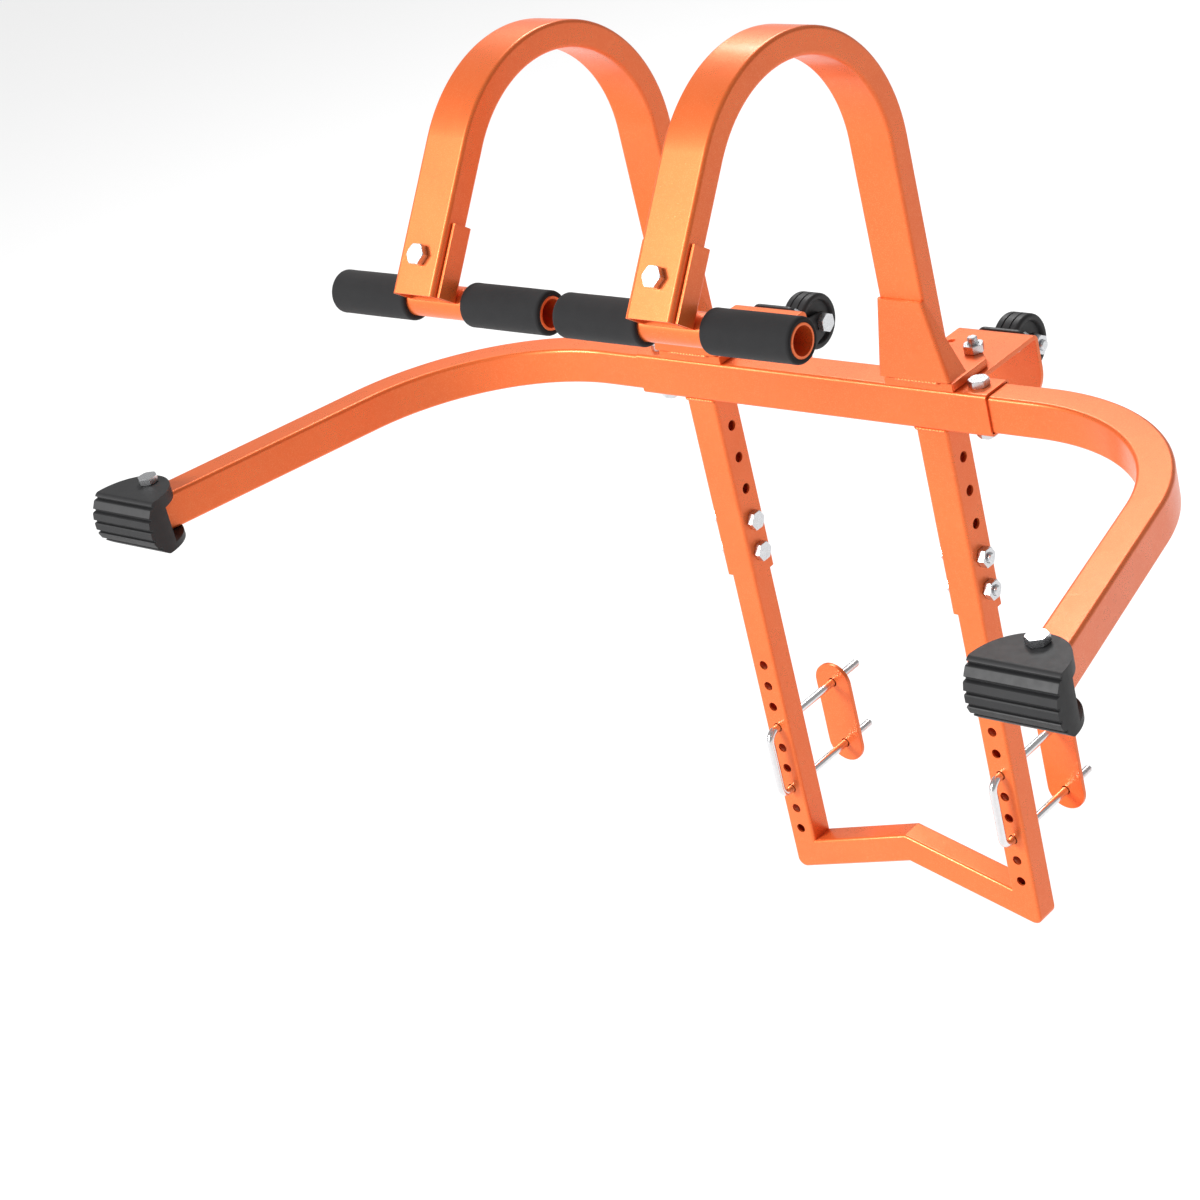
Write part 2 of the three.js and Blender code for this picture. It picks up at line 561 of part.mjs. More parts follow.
for (const [hand, out] of [['right', 1], ['left', -1]]) {
  const x = out * HOOK_X;
  const legX = out * LEG_X;
  const left = out < 0;
  piece(`leg_sleeve_${hand}`, legSleeve(), orangePaint(), legX);
  piece(`hook_tube_${hand}`, hookTube(), orangePaint(), x);
  piece(`hook_gusset_${hand}`, gusset(), orangePaint(), x);
  piece(`hook_base_plate_${hand}`, basePlate(out), orangePaint(), x);
  piece(`wheel_bracket_${hand}`, wheelBracket(out), orangePaint(), x);
  piece(`caster_fork_${hand}`, casterFork(out), blackPlastic(), x);
  const wheelX = x - out * WHEEL.inboard;
  piece(`wheel_${hand}`, wheel(), blackRubber(), wheelX);
  piece(`wall_arm_${hand}`, arm(), orangePaint(), 0, left);
  piece(`wall_foot_${hand}`, foot(), blackRubber(), 0, left);

  const [tBarY, tBarZ] = tBarPlace();
  piece(`t_bar_tube_${hand}`, geometryOf(tBarTube()).translate(0, tBarY, tBarZ), orangePaint(), x);
  piece(`t_bar_bracket_${hand}`, tBarBracket(), orangePaint(), x);
  piece(`t_bar_bolt_${hand}`, tBarBolt(), zinc(), x);
  for (const [end, side] of [['outer', out], ['inner', -out]]) {
    piece(`foam_grip_${hand}_${end}`, foamGrip(side).translate(0, tBarY, tBarZ), blackFoam(), x);
  }

  // Bolts: heads on the seen side, nuts behind.
  const armBolt = hexBolt(M8, BAR.height).rotateX(Math.PI).translate(out * ARM_BOLT_X, 0, barTop);
  piece(`arm_bolt_${hand}`, armBolt, zinc());
  const footGrip = FOOT.top - FOOT.bottom;
  const footFastener = hexBolt(M8, footGrip).rotateX(Math.PI).translate(out * footBolt.x, footBolt.y, FOOT.top);
  piece(`foot_bolt_${hand}`, footFastener, zinc());
  const axleGrip = WHEEL.width + 2 + 2 * WHEEL.cheek;
  const axle = hexBolt(M8, axleGrip).rotateY(out * Math.PI / 2).translate(-out * axleGrip / 2, WHEEL.y, WHEEL.z);
  piece(`axle_bolt_${hand}`, axle, zinc(), wheelX);

  const baseGrip = BASE.thick + GAP + WHEEL_PLATE.thick;
  BASE_BOLTS.forEach((place, i) => {
    const bolt = hexBolt(M8, baseGrip, BASE_BOLT_TAIL).translate(out * place.out, place.y, barTop - WHEEL_PLATE.thick);
    piece(`base_bolt_${hand}_${i + 1}`, bolt, zinc(), x);
  });
  const casterGrip = WHEEL_PLATE.thick + GAP + CASTER.plate;
  casterBoltPlaces().forEach(([boltX, boltZ], i) => {
    const bolt = hexBolt(M6, casterGrip).rotateZ(Math.PI / 6).rotateX(-Math.PI / 2);
    bolt.translate(boltX, WHEEL_PLATE.back - WHEEL_PLATE.thick, boltZ);
    piece(`caster_bolt_${hand}_${i + 1}`, bolt, zinc(), x);
  });
  for (let i = SLEEVE_HOLES.firstBolted; i < SLEEVE_HOLES.count; i++) {
    // The heads are on the inner side of both legs, with a flat on top.
    const bolt = hexBolt(M8, LEG_SLEEVE.width).rotateZ(Math.PI / 6).rotateY(out * Math.PI / 2);
    bolt.translate(-out * LEG_SLEEVE.width / 2, 0, sleeveHoleZ(i));
    piece(`leg_bolt_${hand}_${i - SLEEVE_HOLES.firstBolted + 1}`, bolt, zinc(), legX);
  }

  piece(`u_bolt_${hand}`, uBolt(), zinc(), legX);
  piece(`clamp_plate_${hand}`, clampPlate(), orangePaint(), legX);
  piece(`clamp_nut_${hand}_upper`, clampNut(clampTop), zinc(), legX);
  piece(`clamp_nut_${hand}_lower`, clampNut(clampBottom), zinc(), legX);
}

export default stabilizer;
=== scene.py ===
"""Ladder stabilizer: two padded roof hooks on a crossbar, curved wall arms with rubber feet,
ridge casters, and a lower frame whose U-bolts clamp it to a ladder rung.

Sizes are in millimetres about the middle of the crossbar, with X across, -Y towards the wall
and Z up. Paired pieces are made once for each hand, with side 1 on the right and -1 on the left."""
from math import atan, cos, degrees, floor, pi, radians, sin, tan

import bmesh
import bpy
from mathutils import Matrix, Vector


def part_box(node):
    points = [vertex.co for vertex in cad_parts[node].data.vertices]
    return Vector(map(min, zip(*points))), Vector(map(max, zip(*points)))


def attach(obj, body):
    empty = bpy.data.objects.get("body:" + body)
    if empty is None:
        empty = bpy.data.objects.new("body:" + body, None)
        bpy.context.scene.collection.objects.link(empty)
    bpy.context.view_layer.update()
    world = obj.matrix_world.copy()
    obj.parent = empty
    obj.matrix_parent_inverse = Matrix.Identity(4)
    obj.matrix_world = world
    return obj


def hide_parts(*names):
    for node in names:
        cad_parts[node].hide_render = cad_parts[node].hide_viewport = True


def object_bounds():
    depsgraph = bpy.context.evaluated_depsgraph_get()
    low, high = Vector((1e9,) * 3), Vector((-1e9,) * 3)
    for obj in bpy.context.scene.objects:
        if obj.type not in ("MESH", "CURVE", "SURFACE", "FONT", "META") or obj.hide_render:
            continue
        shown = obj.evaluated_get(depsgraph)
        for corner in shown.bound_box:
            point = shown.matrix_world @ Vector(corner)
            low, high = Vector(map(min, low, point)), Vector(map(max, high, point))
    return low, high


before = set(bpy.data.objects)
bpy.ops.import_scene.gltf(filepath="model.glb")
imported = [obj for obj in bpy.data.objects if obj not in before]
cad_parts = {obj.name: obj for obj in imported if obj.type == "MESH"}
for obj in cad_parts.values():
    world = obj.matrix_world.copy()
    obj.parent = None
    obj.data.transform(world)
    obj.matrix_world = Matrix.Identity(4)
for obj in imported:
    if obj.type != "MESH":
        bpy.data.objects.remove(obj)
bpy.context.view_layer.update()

MM = 0.001
GAP = 0.3  # the air left between neighbours
LOW_BAR, HIGH_BAR = (Vector(corner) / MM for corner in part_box("crossbar_sleeve"))
BAR_MIDDLE = (LOW_BAR + HIGH_BAR) / 2


def node_box(node):
    """A node's two corners in millimetres about the crossbar's middle."""
    return [Vector(corner) / MM - BAR_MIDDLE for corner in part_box(node)]


def node_middle(node):
    low, high = node_box(node)
    return (low + high) / 2


# ---- driving sizes ----
BAR = {"half": (HIGH_BAR.x - LOW_BAR.x) / 2, "deep": 32, "tall": 35, "wall": 1.8, "corner": 3.2}
HOOK_X = node_middle("hook_tube_right").x
LEG_X = node_middle("leg_sleeve_right").x

SLEEVE = {"wide": 30, "deep": 28, "wall": 2.1, "corner": 3, "top": -17.8, "bottom": -183}
SLEEVE_HOLES = {"top": -46.6, "pitch": 29.1, "open": 3, "radius": 4.5}
LEG = {"wide": 25, "deep": 23.2, "wall": 1.8, "corner": 2.6, "top": -113}
RUNG_HOLES = {"top": -271, "pitch": 20.67, "count": 9, "radius": 4.25}
V_BAR = {"tall": 26.2, "peak": -418, "corner": -447, "round": 7}

HOOK = {"wide": 41, "deep": 21, "wall": 1.8, "corner": 3.2, "radius": 111, "y": -7.5, "bend_z": 217.35}
HOOK_FOOT_Z = 25.1
HOOK_LEAN = 37.4
FRONT_LEG = 117.3
HOOK_BOLT_AT = 88
T_TUBE = {"radius": 12.5, "wall": 2, "half": 107.5}
FOAM = {"radius": 16.5, "length": 78.5, "round": 3, "roll": 0.8, "slack": 0.15, "bore_round": 0.4}
T_BRACKET = {"from": 61, "to": 117.1, "sheet": 2.5, "gap": 0.8, "inset": 4.8, "fold": 3.2}

BASE = {"half": 32, "front": -17, "back": 45, "low": 17.8, "high": 24.8, "out_bevel": 15, "in_bevel": 8}
GUSSET = {"front": -21.3, "sheet": 3, "fold": 3.4, "inner_fold": 0.6}
GUSSET_LOW = {"half": 33.5, "deep": 23, "z": 27.3}
GUSSET_HIGH = {"half": 20.9, "deep": 4.4, "z": 93}
SHELF = {"half": 35.75, "front": 16.3, "back": 93, "low": 13.5, "high": 17.5, "round_z": -12, "fold": 5.5}
SPARE_HOLE = {"radius": 3, "x": 27, "y": 66}
CASTER = {"wide": 46, "tall": 64, "corner": 8, "z": -15, "sheet": 3.7}
CHEEK = {"sheet": 3, "half": 18, "nose": 9, "nose_turn": 75, "air": 1}
WHEEL = {"radius": 24, "wide": 22, "hub": 7, "bore": 4.3, "rim_round": 3, "dish": 3.2}
TREAD_GROOVE = {"deep": 0.8, "from": 3.0, "to": 4.6, "slope": 0.4}

ARM = {"tall": 30.8, "deep": 27.8, "wall": 1.8, "corner": 3.2, "from": 112, "bend_x": 215, "past_bolt": 6}
ARM_BEND = {"radius": 175, "degrees": 76.5}
FOOT_BOLT = node_middle("foot_bolt_right")
FOOT = {"half": 35.5, "top": 26.3, "bottom": -21, "front": -363, "back": -323, "body_back": -350.7}
FOOT_BULGE = {"y": -373.8, "z": 0.2, "flat": 3.3}
FOOT_RIBS = {"count": 5, "lip": 2.5, "groove": 2.4, "deep": 2.8, "soft": 0.7}

ROD = 3.5
U_BEND = {"y": -24.5, "radius": 9, "tip": 105, "thread": 34}
CLAMP = {"half": 18, "front": 68, "thick": 4}
M8 = {"rod": 4, "flats": 15, "head": 5.5, "nut": 6.5, "pitch": 1.25}
M6 = {"rod": 3, "flats": 10, "head": 4, "nut": 5, "pitch": 1.0}
HEX_CORNERS = {"chamfer_from": 1.07, "soft": 0.18}
NUT_BORE = {"slack": 0.12, "mouth": 0.6}
THREAD_DEPTH = 0.6  # of the pitch
TIP_CHAMFER = 0.8


# ---- finishes ----
class Signal:
    """A shader socket that reads as arithmetic: each operator adds its Math node."""

    def __init__(self, finish, socket):
        self.finish = finish
        self.socket = socket

    def maths(self, operation, first, second):
        return self.finish.node("ShaderNodeMath", {"operation": operation}, {0: first, 1: second})

    def __add__(self, other):
        return self.maths("ADD", self, other)

    def __sub__(self, other):
        return self.maths("SUBTRACT", self, other)

    def __rsub__(self, other):
        return self.maths("SUBTRACT", other, self)

    def __mul__(self, other):
        return self.maths("MULTIPLY", self, other)

    def __gt__(self, other):
        return self.maths("GREATER_THAN", self, other)

    __radd__ = __add__
    __rmul__ = __mul__


class Finish:
    """One material on a Principled surface."""

    def __init__(self, name, **steady):
        self.material = bpy.data.materials.new(name)
        self.material.use_nodes = True
        self.tree = self.material.node_tree
        self.surface = self.tree.nodes["Principled BSDF"]
        self.place = self.node("ShaderNodeTexCoord", out="Object")
        for socket, value in steady.items():
            self.surface.inputs[socket.replace("_", " ")].default_value = value

    def node(self, kind, settings=None, inputs=None, out=0):
        """Adds a node: its settings first, then the values or links of its sockets."""
        node = self.tree.nodes.new(kind)
        for setting, value in (settings or {}).items():
            setattr(node, setting, value)
        for socket, value in (inputs or {}).items():
            self.plug(node.inputs[socket], value)
        return Signal(self, node.outputs[out])

    def plug(self, socket, value):
        if isinstance(value, Signal):
            self.tree.links.new(value.socket, socket)
        else:
            socket.default_value = value

    def set(self, socket, value):
        self.plug(self.surface.inputs[socket], value)

    def noise(self, size, detail=2.0, rough=0.5):
        """Cloudy noise between 0 and 1 whose spots are about size millimetres across."""
        inputs = {"Vector": self.place, "Scale": 1 / (size * MM), "Detail": detail, "Roughness": rough}
        return self.node("ShaderNodeTexNoise", inputs=inputs)

    def cells(self, size, out="Distance"):
        """Small cells about size millimetres across."""
        inputs = {"Vector": self.place, "Scale": 1 / (size * MM)}
        return self.node("ShaderNodeTexVoronoi", inputs=inputs, out=out)

    def grey(self, colour_signal):
        return self.node("ShaderNodeSeparateColor", inputs={"Color": colour_signal})

    def blend(self, mask, one, two):
        mix = {"Factor": mask, 6: one, 7: two}
        return self.node("ShaderNodeMix", {"data_type": "RGBA"}, mix, out=2)

    def bump(self, height, depth, strength=1.0, under=None):
        """Raises the surface by height times depth millimetres."""
        inputs = {"Height": height, "Distance": depth * MM, "Strength": strength}
        if under:
            inputs["Normal"] = under
        return self.node("ShaderNodeBump", inputs=inputs, out="Normal")


def powder_coat(name, deep, bright):
    """Metallic powder coat: a fine sparkle in a skin with a faint orange peel."""
    coat = Finish(name, Coat_Roughness=0.16, Coat_IOR=1.5, Metallic=0.5)
    flake = coat.grey(coat.cells(0.45, out="Color"))
    sparkle = flake > 0.86
    cloud = coat.noise(60, 3)
    tint = coat.blend(cloud, deep, bright)
    lighter = [min(1.0, 1.35 * c + 0.05) for c in bright[:3]] + [1]
    coat.set("Base Color", coat.blend(sparkle * 0.5, tint, lighter))
    coat.set("Roughness", 0.34 + 0.12 * coat.noise(25) - 0.12 * sparkle)
    coat.set("Coat Weight", 0.16 + 0.16 * coat.noise(40))
    peel = coat.bump(coat.noise(2.6, 1), 0.05, 0.5)
    coat.set("Normal", coat.bump(flake, 0.02, 0.35, under=peel))
    return coat.material


def zinc_plate(name, colour, roughness):
    """Bright zinc: slightly mottled, with fine marks of the die."""
    plate = Finish(name, Metallic=1.0)
    mottle = plate.noise(3, 4)
    dull = [0.82 * c for c in colour[:3]] + [1]
    plate.set("Base Color", plate.blend(mottle, dull, colour))
    plate.set("Roughness", roughness - 0.06 + 0.16 * plate.noise(1.2, 3))
    plate.set("Normal", plate.bump(plate.noise(0.5, 2), 0.015, 0.4))
    return plate.material


def closed_cell_foam(name):
    """Dense black foam: open pores over soft unevenness."""
    foam = Finish(name, Sheen_Weight=0.05, Sheen_Roughness=0.5, Specular_IOR_Level=0.3)
    pores = foam.cells(0.7)
    cloud = foam.noise(9, 4)
    foam.set("Base Color", foam.blend(cloud, (0.012, 0.012, 0.013, 1), (0.024, 0.024, 0.025, 1)))
    foam.set("Roughness", 0.82 + 0.14 * cloud)
    swell = foam.bump(foam.noise(14, 2), 0.35, 0.5)
    foam.set("Normal", foam.bump(pores, 0.16, 0.7, under=swell))
    return foam.material


def moulded_black(name, low, high, roughness, grain, depth):
    """Moulded rubber or plastic with the fine grain of its tool."""
    moulding = Finish(name, Specular_IOR_Level=0.4)
    cloud = moulding.noise(18, 4)
    moulding.set("Base Color", moulding.blend(cloud, (*low, 1), (*high, 1)))
    moulding.set("Roughness", roughness + 0.14 * moulding.noise(6, 3))
    moulding.set("Normal", moulding.bump(moulding.noise(grain, 3), depth, 0.6))
    return moulding.material


ORANGE = powder_coat("orange_powder_coat", (0.86, 0.150, 0.028, 1), (0.95, 0.185, 0.038, 1))
ZINC = zinc_plate("zinc_fastener", (0.80, 0.81, 0.83, 1), 0.26)
BRIGHT_ZINC = zinc_plate("bright_zinc_rod", (0.90, 0.90, 0.91, 1), 0.16)
FOAM_BLACK = closed_cell_foam("black_foam")
RUBBER = moulded_black("black_rubber", (0.011, 0.011, 0.012), (0.020, 0.020, 0.021), 0.46, 0.5, 0.05)
PLASTIC = moulded_black("black_plastic", (0.008, 0.008, 0.009), (0.014, 0.014, 0.015), 0.32, 0.4, 0.03)
TREAD = moulded_black("wheel_rubber", (0.012, 0.012, 0.013), (0.022, 0.022, 0.023), 0.4, 0.7, 0.05)


# ---- shapes ----
class Shape:
    """A mesh being built from rings of points."""

    def __init__(self):
        self.points = []
        self.faces = []

    def ring(self, points):
        first = len(self.points)
        self.points.extend(Vector(point) for point in points)
        return list(range(first, len(self.points)))

    def wall(self, one, two):
        for i in range(len(one)):
            j = (i + 1) % len(one)
            self.faces.append((one[i], one[j], two[j], two[i]))

    def moved(self, matrix):
        copy = Shape()
        copy.points = [matrix @ point for point in self.points]
        copy.faces = list(self.faces)
        return copy

    def joined(self, *others):
        copy = self.moved(Matrix())
        for other in others:
            first = len(copy.points)
            copy.points.extend(other.points)
            copy.faces.extend(tuple(first + i for i in face) for face in other.faces)
        return copy


def lofted(rings, closed=False):
    """A skin through rings of equal count, capped at both ends unless it closes on itself."""
    shape = Shape()
    drawn = [shape.ring(ring) for ring in rings]
    for one, two in zip(drawn, drawn[1:]):
        shape.wall(one, two)
    if closed:
        shape.wall(drawn[-1], drawn[0])
    else:
        shape.faces += [tuple(drawn[0]), tuple(drawn[-1])]
    return shape


def swept(stations, outline, bore=None):
    """A bar through stations, or a tube when it has a bore of as many points."""
    def along(section, order):
        return [[m @ Vector((a, b, 0)) for a, b in section] for m in order]
    if bore is None:
        return lofted(along(outline, stations))
    return lofted(along(outline, stations) + along(bore, stations[::-1]), closed=True)


def turned(profile, sides, closed=False):
    """A shape of revolution about Z from (radius, height) points."""
    turns = [2 * pi * i / sides for i in range(sides)]
    return lofted([[(r * cos(t), r * sin(t), z) for t in turns] for r, z in profile], closed)


def arc(x, y, radius, start, end, steps):
    """Points on a circle between two angles in degrees."""
    turns = (radians(start + (end - start) * i / steps) for i in range(steps + 1))
    return [(x + radius * cos(a), y + radius * sin(a)) for a in turns]


def quarter_turn():
    """Seven angles from 0 to 90 degrees, in radians."""
    return [pi / 12 * i for i in range(7)]


def rounded(width, height, corner, steps=5):
    """A rectangle with round corners, drawn anticlockwise."""
    across, along = width / 2 - corner, height / 2 - corner
    points = []
    for sx, sy, start in ((1, 1, 0), (-1, 1, 90), (-1, -1, 180), (1, -1, 270)):
        points += arc(sx * across, sy * along, corner, start, start + 90, steps)
    return points


def tube_section(size, wide, tall):
    """The outer and inner outlines of a rectangular tube."""
    wall = size["wall"]
    inner = max(size["corner"] - wall, 0.5)
    return rounded(wide, tall, size["corner"]), rounded(wide - 2 * wall, tall - 2 * wall, inner)


def slab(outline, low, high, axis="z"):
    """A flat outline given thickness along one axis; along y it is drawn in X and Z."""
    places = {
        "x": lambda a, b, c: (c, a, b),
        "y": lambda a, b, c: (a, c, b),
        "z": lambda a, b, c: (a, b, c),
    }
    place = places[axis]
    return lofted([[place(a, b, c) for a, b in outline] for c in (low, high)])


def circle(x, y, radius, sides):
    return arc(x, y, radius, 0, 360 - 360 / sides, sides - 1)


def pin(axis, radius, low, high, middle):
    """A round bar along one axis, used to cut holes."""
    return slab(circle(*middle, radius, 32), low, high, axis)


def basis(across, up, origin):
    """A station whose section lies along across and up."""
    ahead = Vector(across).cross(Vector(up))
    columns = Matrix((across, up, ahead)).transposed().to_4x4()
    return Matrix.Translation(origin) @ columns


def walk(station, runs):
    """Stations along straight runs and bends, each bend turning about the section's across."""
    stations = [station]
    for run in runs:
        steps = run.get("steps", 1)
        half = radians(run.get("degrees", 0)) / steps / 2
        length = run.get("straight") or 2 * run["radius"] * sin(half)
        turn = Matrix.Rotation(half, 4, "X")
        for _ in range(steps):
            station = station @ turn @ Matrix.Translation((0, 0, length)) @ turn
            stations.append(station)
    return stations


def hex_block(size, low, high, bored=False, sides=48):
    """A hexagon head or nut whose corners are chamfered at 30 degrees. Two of the corners lie on X."""
    flat = size["flats"] / 2
    rim = HEX_CORNERS["chamfer_from"] * flat
    soft = HEX_CORNERS["soft"]
    turns = [2 * pi * i / sides for i in range(sides)]
    reach = [flat / cos(t % (pi / 3) - pi / 6) for t in turns]
    face = [min(r, rim) - soft for r in reach]

    def ring(radii, z, slope=0.0):
        return [(r * cos(t), r * sin(t), z + slope * (soft + max(r - rim, 0) * tan(pi / 6)))
                for r, t in zip(radii, turns)]

    rings = [ring(face, low), ring(reach, low, 1), ring(reach, high, -1), ring(face, high)]
    if not bored:
        return lofted(rings)
    cone = NUT_BORE["mouth"]
    hole = [size["rod"] + NUT_BORE["slack"]] * sides
    mouth = [size["rod"] + NUT_BORE["slack"] + cone] * sides
    rings += [ring(mouth, high), ring(hole, high - cone), ring(hole, low + cone), ring(mouth, low)]
    return lofted(rings, closed=True)


def screwed(size, low, high, sides=24):
    """A screwed rod along Z with a chamfered tip at its high end."""
    radius, pitch = size["rod"], size["pitch"]
    root = radius - THREAD_DEPTH * pitch
    groove = ((radius, 0.18), (root, 0.45), (root, 0.6), (radius, 0.9))
    profile = [(radius, low)]
    for i in range(floor((high - low - TIP_CHAMFER) / pitch)):
        z = low + i * pitch
        profile += [(r, z + share * pitch) for r, share in groove]
    return turned(profile + [(radius, high - TIP_CHAMFER), (radius - TIP_CHAMFER, high)], sides)


def fastener(size, grip, tail):
    """A hexagon bolt with its nut: head below z = 0, nut above the grip."""
    head = hex_block(size, -GAP - size["head"], -GAP)
    bearing = size["flats"] / 2 * 0.95
    washer_face = turned([(bearing, -GAP - 0.05), (bearing, -0.02)], 32)
    shank = turned([(size["rod"], -1), (size["rod"], grip)], 24)
    nut = hex_block(size, grip + GAP, grip + GAP + size["nut"], bored=True)
    thread = screwed(size, grip - 1, grip + size["nut"] + tail)
    return head.joined(washer_face, shank, nut, thread)


def weld_bead(path, radius):
    """A rippled bead laid along a closed path of points."""
    ripple, sides = 3.2, 8
    turns = [2 * pi * k / sides for k in range(sides)]
    rings = []
    count = len(path)
    length = 0.0
    for i, point in enumerate(path):
        ahead = (path[(i + 1) % count] - path[i - 1]).normalized()
        side = ahead.orthogonal().normalized()
        up = ahead.cross(side)
        swell = radius * (1 + 0.12 * sin(2 * pi * length / ripple))
        rings.append([point + swell * (side * cos(a) + up * sin(a)) for a in turns])
        length += (path[(i + 1) % count] - point).length
    return lofted(rings, closed=True)


def spaced(outline, z, step=0.8):
    """Points every step millimetres round a flat outline at one height."""
    corners = [Vector((a, b, z)) for a, b in outline]
    points = []
    for here, there in zip(corners, corners[1:] + corners[:1]):
        count = max(1, round((there - here).length / step))
        points += [here.lerp(there, i / count) for i in range(count)]
    return points


# ---- making pieces ----
MIRROR = Matrix.Scale(-1, 4, (1, 0, 0))


def mesh_object(name, shape):
    mesh = bpy.data.meshes.new(name)
    mesh.from_pydata([(point + BAR_MIDDLE) * MM for point in shape.points], [], shape.faces)
    work = bmesh.new()
    work.from_mesh(mesh)
    bmesh.ops.recalc_face_normals(work, faces=work.faces)
    work.to_mesh(mesh)
    work.free()
    piece = bpy.data.objects.new(name, mesh)
    bpy.context.collection.objects.link(piece)
    return piece


def carve(piece, shape, operation="DIFFERENCE"):
    """Cuts a piece with a shape, or keeps only what is inside it."""
    tool = mesh_object("tool", shape)
    cut = piece.modifiers.new("cut", "BOOLEAN")
    cut.operation = operation
    cut.solver = "EXACT"
    cut.object = tool
    shaped = piece.evaluated_get(bpy.context.evaluated_depsgraph_get())
    mesh = bpy.data.meshes.new_from_object(shaped)
    piece.modifiers.clear()
    old, piece.data = piece.data, mesh
    bpy.data.meshes.remove(old)
    bpy.data.objects.remove(tool)


def ease(piece, width):
    """Rounds the sharp edges over."""
    limit = radians(35)
    work = bmesh.new()
    work.from_mesh(piece.data)
    bmesh.ops.remove_doubles(work, verts=work.verts, dist=0.00001)
    bmesh.ops.dissolve_limit(work, angle_limit=radians(0.5), verts=work.verts, edges=work.edges)
    sharp = [edge for edge in work.edges if edge.is_manifold and edge.calc_face_angle() > limit]
    bmesh.ops.bevel(work, geom=sharp, offset=width * MM, segments=2, profile=0.5, affect="EDGES",
                    clamp_overlap=True)
    work.to_mesh(piece.data)
    work.free()


def make(name, shape, body, slot, finish, nodes=(), edge=0.0, keep=None, cuts=(), smooth=40):
    """One visible piece: shaped, eased, given its finish and fixed to the body it moves with."""
    piece = mesh_object(name, shape)
    if keep:
        carve(piece, keep, "INTERSECT")
    for cut in cuts:
        carve(piece, cut)
    if edge:
        ease(piece, edge)
    piece.data.shade_smooth()
    piece.data.set_sharp_from_angle(angle=radians(smooth))
    even = piece.modifiers.new("even_shading", "WEIGHTED_NORMAL")
    even.keep_sharp = True
    piece.data.materials.clear()
    piece.data.materials.append(finish)
    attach(piece, body)
    if nodes:
        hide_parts(*nodes)
    return piece


def painted(name, shape, nodes=(), **shaping):
    """An orange piece of the frame."""
    make(name, shape, "frame", "orange_paint", ORANGE, nodes, **shaping)


def zinced(name, shape, node):
    """A fastener of the frame."""
    make(name, shape, "frame", "zinc", ZINC, [node], smooth=25)


def at(x, y=0.0, z=0.0):
    return Matrix.Translation((x, y, z))


def lying_across(node):
    """A place at a node's middle whose Z runs along X."""
    return Matrix.Translation(node_middle(node)) @ Matrix.Rotation(pi / 2, 4, "Y")


# ---- crossbar, sleeves and lower frame ----
def crossbar():
    outline, bore = tube_section(BAR, BAR["deep"], BAR["tall"])
    ends = [basis((0, 1, 0), (0, 0, 1), (x, 0, 0)) for x in (-BAR["half"], BAR["half"])]
    painted("crossbar", swept(ends, outline, bore), ["crossbar_sleeve"])


def leg_sleeve(hand, side):
    x = side * LEG_X
    outline, bore = tube_section(SLEEVE, SLEEVE["wide"], SLEEVE["deep"])
    ends = [at(x, 0, z) for z in (SLEEVE["bottom"], SLEEVE["top"])]
    heights = [SLEEVE_HOLES["top"] - i * SLEEVE_HOLES["pitch"] for i in range(SLEEVE_HOLES["open"])]
    holes = [pin("x", SLEEVE_HOLES["radius"], x - 20, x + 20, (0, z)) for z in heights]
    painted(f"leg_sleeve_tube_{hand}", swept(ends, outline, bore), [f"leg_sleeve_{hand}"],
            cuts=[holes[0].joined(*holes[1:])])
    seam = spaced(rounded(SLEEVE["wide"] + 1, SLEEVE["deep"] + 1, 3), SLEEVE["top"] - 0.2)
    painted(f"sleeve_weld_{hand}", weld_bead(seam, 1.3).moved(at(x)))


def lower_frame_stations():
    """Mitred stations from the right leg's top round the peaked bottom bar to the left leg's."""
    inner = LEG_X - LEG["wide"] / 2
    outer = LEG_X + LEG["wide"] / 2
    slope = (V_BAR["peak"] - V_BAR["corner"]) / inner
    angle = atan(slope)
    under = V_BAR["peak"] - V_BAR["tall"] - slope * outer
    r = V_BAR["round"]
    setback = r / tan((pi / 2 - angle) / 2)
    rim = [(outer, LEG["top"])] + arc(outer - r, under + setback, r, 0, -degrees(pi / 2 + angle), 6)
    near = [(inner, LEG["top"])] + [(inner, V_BAR["corner"])] * 7
    peak = [((0, V_BAR["peak"]), (0, V_BAR["peak"] - V_BAR["tall"]))]
    right = list(zip(near, rim))
    left = [((-a[0], a[1]), (-b[0], b[1])) for a, b in reversed(right)]
    stations = []
    for a, b in right + peak + left:
        a, b = Vector((a[0], 0, a[1])), Vector((b[0], 0, b[1]))
        columns = Matrix(((b - a) / LEG["wide"], (0, 1, 0), (0, 0, 1))).transposed().to_4x4()
        stations.append(Matrix.Translation((a + b) / 2) @ columns)
    return stations


def lower_frame():
    outline, bore = tube_section(LEG, LEG["wide"], LEG["deep"])
    shape = swept(lower_frame_stations(), outline, bore)
    heights = [RUNG_HOLES["top"] - i * RUNG_HOLES["pitch"] for i in range(RUNG_HOLES["count"])]
    holes = [pin("y", RUNG_HOLES["radius"], -30, 30, (x, z)) for x in (-LEG_X, LEG_X) for z in heights]
    painted("lower_frame_tube", shape, ["lower_frame"], cuts=[holes[0].joined(*holes[1:])], smooth=30)


# ---- roof hooks ----
def hook_stations(x):
    start = basis((1, 0, 0), (0, 1, 0), (x, HOOK["y"], HOOK_FOOT_Z))
    return walk(start, [{"straight": HOOK["bend_z"] - HOOK_FOOT_Z},
                        {"degrees": 180 - HOOK_LEAN, "radius": HOOK["radius"], "steps": 72},
                        {"straight": FRONT_LEG}])


def front_leg(x, along):
    """A place on the hook's front leg: its Z runs down the leg, and its Y points to the wall."""
    return hook_stations(x)[-2] @ at(0, 0, along)


